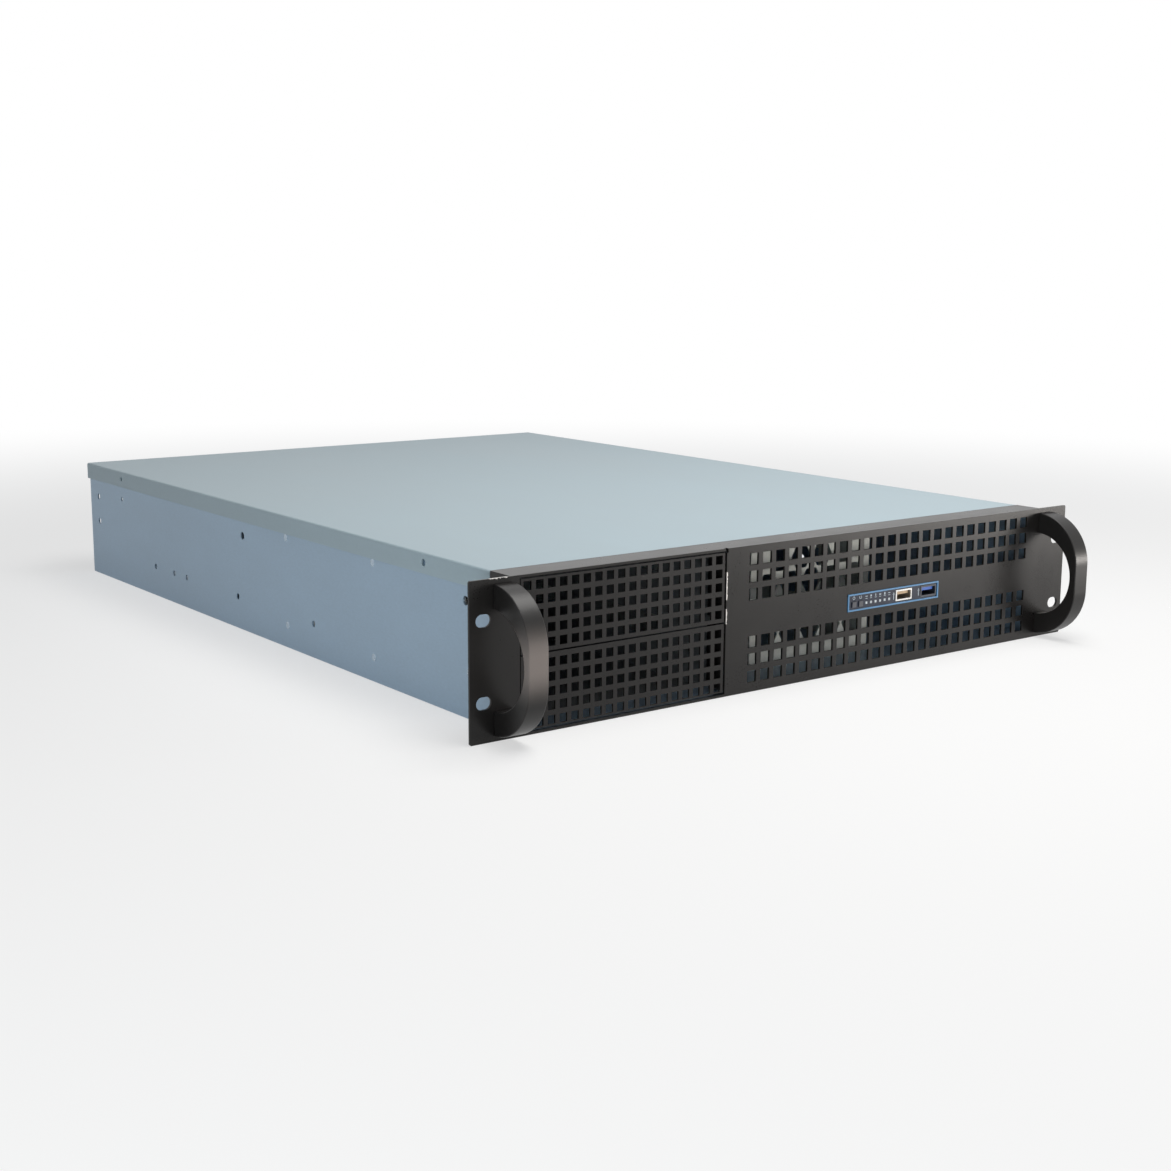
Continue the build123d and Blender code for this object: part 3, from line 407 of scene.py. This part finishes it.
# Front panel and bay covers. Punched and folded sheet with a black powder coat that has a fine dry
# grain and rounds over the edges. It is rubbed through to the steel on top of the left ear, beside
# the lid's corner, and in two places on the right edge of the upper bay cover.
def box_mask(tree, low, high):
    """Output that is 1 inside a box given in the piece's own place, with a ragged border, and 0 outside."""
    place = tree.nodes.new("ShaderNodeTexCoord")
    rag = tree.nodes.new("ShaderNodeTexNoise")
    rag.inputs["Scale"].default_value = 900
    tree.links.new(place.outputs["Object"], rag.inputs["Vector"])
    away = tree.nodes.new("ShaderNodeVectorMath")
    away.operation = "SUBTRACT"
    away.inputs[1].default_value = [(a + b) / 2 for a, b in zip(low, high)]
    tree.links.new(place.outputs["Object"], away.inputs[0])
    plain = tree.nodes.new("ShaderNodeVectorMath")
    plain.operation = "ABSOLUTE"
    tree.links.new(away.outputs[0], plain.inputs[0])
    over = tree.nodes.new("ShaderNodeVectorMath")
    over.operation = "SUBTRACT"
    over.inputs[1].default_value = [(b - a) / 2 for a, b in zip(low, high)]
    tree.links.new(plain.outputs[0], over.inputs[0])
    parts = tree.nodes.new("ShaderNodeSeparateXYZ")
    tree.links.new(over.outputs[0], parts.inputs[0])
    first = tree.nodes.new("ShaderNodeMath")
    first.operation = "MAXIMUM"
    tree.links.new(parts.outputs[0], first.inputs[0])
    tree.links.new(parts.outputs[1], first.inputs[1])
    most = tree.nodes.new("ShaderNodeMath")
    most.operation = "MAXIMUM"
    tree.links.new(first.outputs[0], most.inputs[0])
    tree.links.new(parts.outputs[2], most.inputs[1])
    ragged = tree.nodes.new("ShaderNodeMath")
    ragged.operation = "MULTIPLY_ADD"
    ragged.inputs[1].default_value = 0.0012
    ragged.inputs[2].default_value = -0.0006
    tree.links.new(rag.outputs["Fac"], ragged.inputs[0])
    inside = tree.nodes.new("ShaderNodeMath")
    inside.operation = "LESS_THAN"
    tree.links.new(most.outputs[0], inside.inputs[0])
    tree.links.new(ragged.outputs[0], inside.inputs[1])
    return inside.outputs[0]


def rub_bare(material, boxes, colour):
    """Lets bare metal show through a coat inside the given boxes."""
    tree = material.node_tree
    shader = tree.nodes["Principled BSDF"]
    mask = box_mask(tree, *boxes[0])
    for low, high in boxes[1:]:
        both = tree.nodes.new("ShaderNodeMath")
        both.operation = "MAXIMUM"
        tree.links.new(mask, both.inputs[0])
        tree.links.new(box_mask(tree, low, high), both.inputs[1])
        mask = both.outputs[0]
    coat = shader.inputs["Base Color"].links[0].from_socket
    mixed = tree.nodes.new("ShaderNodeMix")
    mixed.data_type = "RGBA"
    mixed.inputs["B"].default_value = (*colour, 1)
    tree.links.new(mask, mixed.inputs["Factor"])
    tree.links.new(coat, mixed.inputs["A"])
    tree.links.new(mixed.outputs["Result"], shader.inputs["Base Color"])
    tree.links.new(mask, shader.inputs["Metallic"])


front_coat = finish("front_coat", (0.0120, 0.0108, 0.0103), 0.29, spread=0.10, clouds=25, grain=1600,
                    depth=0.000006, Specular_IOR_Level=0.26)
bare_steel = (0.55, 0.53, 0.51)
panel_low, panel_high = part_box("front_panel")
cover_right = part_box("upper_bay_cover")[1][0]
worn_near, worn_far = panel_low[1] - 0.0004, panel_low[1] + 0.0016
worn_places = [((cover_right - 0.0016, worn_near, low), (cover_right - 0.0003, worn_far, high))
               for low, high in ((0.0436, 0.0524), (0.0576, 0.0742))]
worn_places.append(((-0.2285, panel_low[1], panel_high[2] - 0.0004),
                    (-0.2175, worn_far, panel_high[2] + 0.0002)))
rub_bare(front_coat, worn_places, bare_steel)
panel_break = 0.00025
broken_edges("front_panel", "coated_front", panel_break, "case", front_coat)
broken_edges("upper_bay_cover", "coated_upper_cover", sheet_break, "case", front_coat)
broken_edges("lower_bay_cover", "coated_lower_cover", sheet_break, "case", front_coat)

# Handles. Cast bows with a smoother dark coat than the panel's and broken edges, each held by two
# cross-head screws from behind its ear. The left bow has a painted highlight around the middle of its
# height, where its coat is lighter and metallic, for light reflected off it.
def paint_grip_highlight(material, middle, full, none, colour, strongest_share=0.5):
    """Paints a highlight around a height: a lighter, metallic colour in the coat, fading out above and below
    it.
    """
    tree = material.node_tree
    shader = tree.nodes["Principled BSDF"]
    place = tree.nodes.new("ShaderNodeTexCoord")
    parts = tree.nodes.new("ShaderNodeSeparateXYZ")
    tree.links.new(place.outputs["Object"], parts.inputs[0])
    away = tree.nodes.new("ShaderNodeMath")
    away.operation = "SUBTRACT"
    away.inputs[1].default_value = middle
    tree.links.new(parts.outputs["Z"], away.inputs[0])
    far = tree.nodes.new("ShaderNodeMath")
    far.operation = "ABSOLUTE"
    tree.links.new(away.outputs[0], far.inputs[0])
    share = tree.nodes.new("ShaderNodeMapRange")
    share.interpolation_type = "SMOOTHSTEP"
    share.inputs["From Min"].default_value = full
    share.inputs["From Max"].default_value = none
    share.inputs["To Min"].default_value = strongest_share
    share.inputs["To Max"].default_value = 0
    tree.links.new(far.outputs[0], share.inputs["Value"])
    coat = shader.inputs["Base Color"].links[0].from_socket
    mixed = tree.nodes.new("ShaderNodeMix")
    mixed.data_type = "RGBA"
    mixed.inputs["B"].default_value = (*colour, 1)
    tree.links.new(share.outputs[0], mixed.inputs["Factor"])
    tree.links.new(coat, mixed.inputs["A"])
    tree.links.new(mixed.outputs["Result"], shader.inputs["Base Color"])
    tree.links.new(share.outputs[0], shader.inputs["Metallic"])


bow_break = 0.0005
# Colour of the painted highlight on the left bow.
grip_highlight_colour = (0.38, 0.33, 0.305)
for side in ("left", "right"):
    bow_coat = finish(f"{side}_bow_coat", (0.013, 0.012, 0.0115), 0.32, spread=0.12, clouds=30, grain=1500,
                      depth=0.00001, stretch=(0.2, 1, 1), Specular_IOR_Level=0.28)
    if side == "left":
        # Painted highlight on the left bow, around its middle height.
        paint_grip_highlight(bow_coat, middle=0.047, full=0.003, none=0.024, colour=grip_highlight_colour)
    broken_edges(f"{side}_handle", f"{side}_bow", bow_break, "case", bow_coat)
bow_head = (0.0035, 0.0024)
bow_shank = 0.002
cross_screws("bow_screws", "handle_screws", backward, bow_head, bow_shank)

# Control strip. A light blue ring moulded round a dark glossy plate, with two push buttons, six
# light pipes and small printed marks over them and beside the ports.
strip_blue = finish("strip_blue", (0.07, 0.23, 0.44), 0.35, spread=0.05, clouds=60)
strip_dark = finish("strip_dark", (0.012, 0.018, 0.038), 0.22, spread=0.06, clouds=60)
button_dark = finish("button_dark", (0.03, 0.035, 0.05), 0.40, spread=0.06, clouds=90)
light_clear = finish("light_clear", (0.55, 0.60, 0.64), 0.25, spread=0.05, clouds=200)
print_pale = finish("print_pale", (0.48, 0.56, 0.62), 0.50, spread=0.06, clouds=300)
wear(nodes["control_bezel"], strip_blue)
wear(nodes["control_fascia"], strip_dark)
wear(nodes["power_button"], button_dark)
wear(nodes["reset_button"], button_dark)
wear(nodes["status_lights"], light_clear)
marks = bmesh.new()
ink = 0.00003
plate_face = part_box("control_fascia")[0][1]
mark_near, mark_far = plate_face - ink, plate_face + ink


def bar_mark(x, z, width, height, turn=0):
    """Printed bar about a place on the plate."""
    bmesh.ops.create_cube(marks, size=1, matrix=Matrix.Translation((x, plate_face, z))
                          @ Matrix.Rotation(radians(turn), 4, "Y")
                          @ Matrix.Diagonal((width, mark_far - mark_near, height, 1)))


def ring_mark(x, z, radius, line, gap):
    """Printed ring about a place on the plate, open at the top by the gap's angle."""
    start = radians(90 + gap / 2)
    corners = [marks.verts.new((x + reach * cos(start), y, z + reach * sin(start)))
               for reach, y in ((radius - line / 2, mark_near), (radius + line / 2, mark_near),
                                (radius + line / 2, mark_far), (radius - line / 2, mark_far))]
    face = marks.faces.new(corners)
    bmesh.ops.spin(marks, geom=[face, *face.edges, *face.verts], cent=(x, 0, z), axis=(0, -1, 0),
                   angle=radians(360 - gap), steps=20)


def box_middle(low, high, axis):
    """Middle of a box along one axis."""
    return (low[axis] + high[axis]) / 2


mark_z = 0.0467
mark_line = 0.00032
ring_radius = 0.0009
power_x = box_middle(*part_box("power_button"), 0)
reset_x = box_middle(*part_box("reset_button"), 0)
ring_mark(power_x, mark_z, ring_radius, mark_line, gap=80)
bar_mark(power_x, mark_z + 0.0007, mark_line, 0.0011)
ring_mark(reset_x, mark_z, ring_radius, mark_line, gap=60)
bar_mark(reset_x + 0.0006, mark_z + 0.0008, 0.0007, mark_line, turn=30)
light_marks = ((0.0018, 0.0004), (0.0012, 0.0012), (0.0005, 0.0016), (0.0016, 0.0008), (0.0010, 0.0016),
               (0.0018, 0.0004))
underline_drop = 0.0014
for (wide, tall), light in zip(light_marks, solid_boxes("status_lights")):
    light_x = box_middle(*light, 0)
    bar_mark(light_x, mark_z, wide, tall)
    bar_mark(light_x, mark_z - underline_drop, 0.0016, 0.0003)
port_mark_gap = 0.0017
branch_rise = 0.0012
for port in ("usb2_shell", "usb3_shell"):
    port_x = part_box(port)[0][0] - port_mark_gap
    port_z = box_middle(*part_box(port), 2)
    bar_mark(port_x, port_z, 0.0005, 0.0045)
    bar_mark(port_x, port_z + branch_rise, 0.0016, 0.0004)
piece_from("printed_marks", marks, "case", print_pale)

# Ports. Tin-plated folded shells round moulded contact tongues; the faster one is blue, in a
# darker plated shell.
port_tin = finish("port_tin", (0.52, 0.52, 0.51), 0.28, metallic=0.95, spread=0.03, clouds=100)
port_dark = finish("port_dark", (0.05, 0.055, 0.065), 0.35, metallic=0.6, spread=0.05, clouds=100)
tongue_tan = finish("tongue_tan", (0.52, 0.36, 0.20), 0.45, spread=0.04, clouds=200)
tongue_blue = finish("tongue_blue", (0.015, 0.11, 0.50), 0.45, spread=0.04, clouds=200)
wear(nodes["usb2_shell"], port_tin)
wear(nodes["usb3_shell"], port_dark)
wear(nodes["usb2_tongue"], tongue_tan)
wear(nodes["usb3_tongue"], tongue_blue)

# Control board and its switches. A green glass-fibre board that stands behind the strip on the two
# bosses of its shelf, with two black push switches right behind the buttons.
board_green = finish("board_green", (0.02, 0.13, 0.06), 0.35, spread=0.12, clouds=150)
switch_black = finish("switch_black", (0.03, 0.03, 0.03), 0.45)
wear(nodes["control_board"], board_green)
wear(nodes["push_switches"], switch_black)

# Cover. Zinc-coated sheet from another coil than the tray's, a little paler and cleaner, hooked
# under the front flange and held behind by two thumbscrews.
cover_zinc = finish("cover_zinc", (0.395, 0.495, 0.545), 0.46, metallic=0.05, spread=0.05, clouds=10,
                    grain=900, stretch=(1, 0.35, 1), Specular_IOR_Level=0.35)
broken_edges("top_cover", "folded_cover", sheet_break, "cover", cover_zinc)

# Thumbscrews. Turned and nickel-plated, with straight knurling and a driving slot in the end. They
# go through notches in the cover's rear flange into the rear wall.
thumbs = bmesh.new()
cover_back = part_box("top_cover")[1][1]
to_back = Matrix.Rotation(radians(-90), 4, "X")
thumb_shank = 0.00145
thumb_grip = 0.0063
thumb_sides = 48
thumb_collar = [(thumb_grip, thumb_shank), (0, 0.0034), (0.0012, 0.0034), (0, 0.0045), (0.0003, 0.0049)]
thumb_knob = ((0.0059, 1), (0.0003, 0.94), (0, 0.72), (0.0003, 0.97))
knurl_valley = 0.95
slot_half = 0.0005
slot_reach = 0.9
slot_depth = 0.0010
for low, high in solid_boxes("cover_thumbscrews"):
    end, made = build_up(thumbs, thumb_shank, thumb_sides, thumb_collar)
    old = set(thumbs.verts)
    for number, vert in enumerate(end.verts):
        vert.co.xy *= 1 if number % 2 else knurl_valley
    for rise, size in thumb_knob:
        end = bmesh.ops.extrude_discrete_faces(thumbs, faces=[end])["faces"][0]
        bmesh.ops.scale(thumbs, vec=(size, size, 1), verts=end.verts)
        bmesh.ops.translate(thumbs, vec=(0, 0, rise), verts=end.verts)
    end = bmesh.ops.extrude_discrete_faces(thumbs, faces=[end])["faces"][0]
    for vert in end.verts:
        vert.co.y = max(-slot_half, min(slot_half, vert.co.y))
        vert.co.x *= slot_reach
    end = bmesh.ops.extrude_discrete_faces(thumbs, faces=[end])["faces"][0]
    bmesh.ops.translate(thumbs, vec=(0, 0, -slot_depth), verts=end.verts)
    made += [vert for vert in thumbs.verts if vert not in old and vert not in made]
    bmesh.ops.translate(thumbs, vec=(0, 0, -thumb_grip), verts=made)
    stand(thumbs, made, ((low.x + high.x) / 2, cover_back, (low.z + high.z) / 2), to_back)
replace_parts(piece_from("knurled_thumbscrews", thumbs, "case", screw_zinc),
            "cover_thumbscrews")
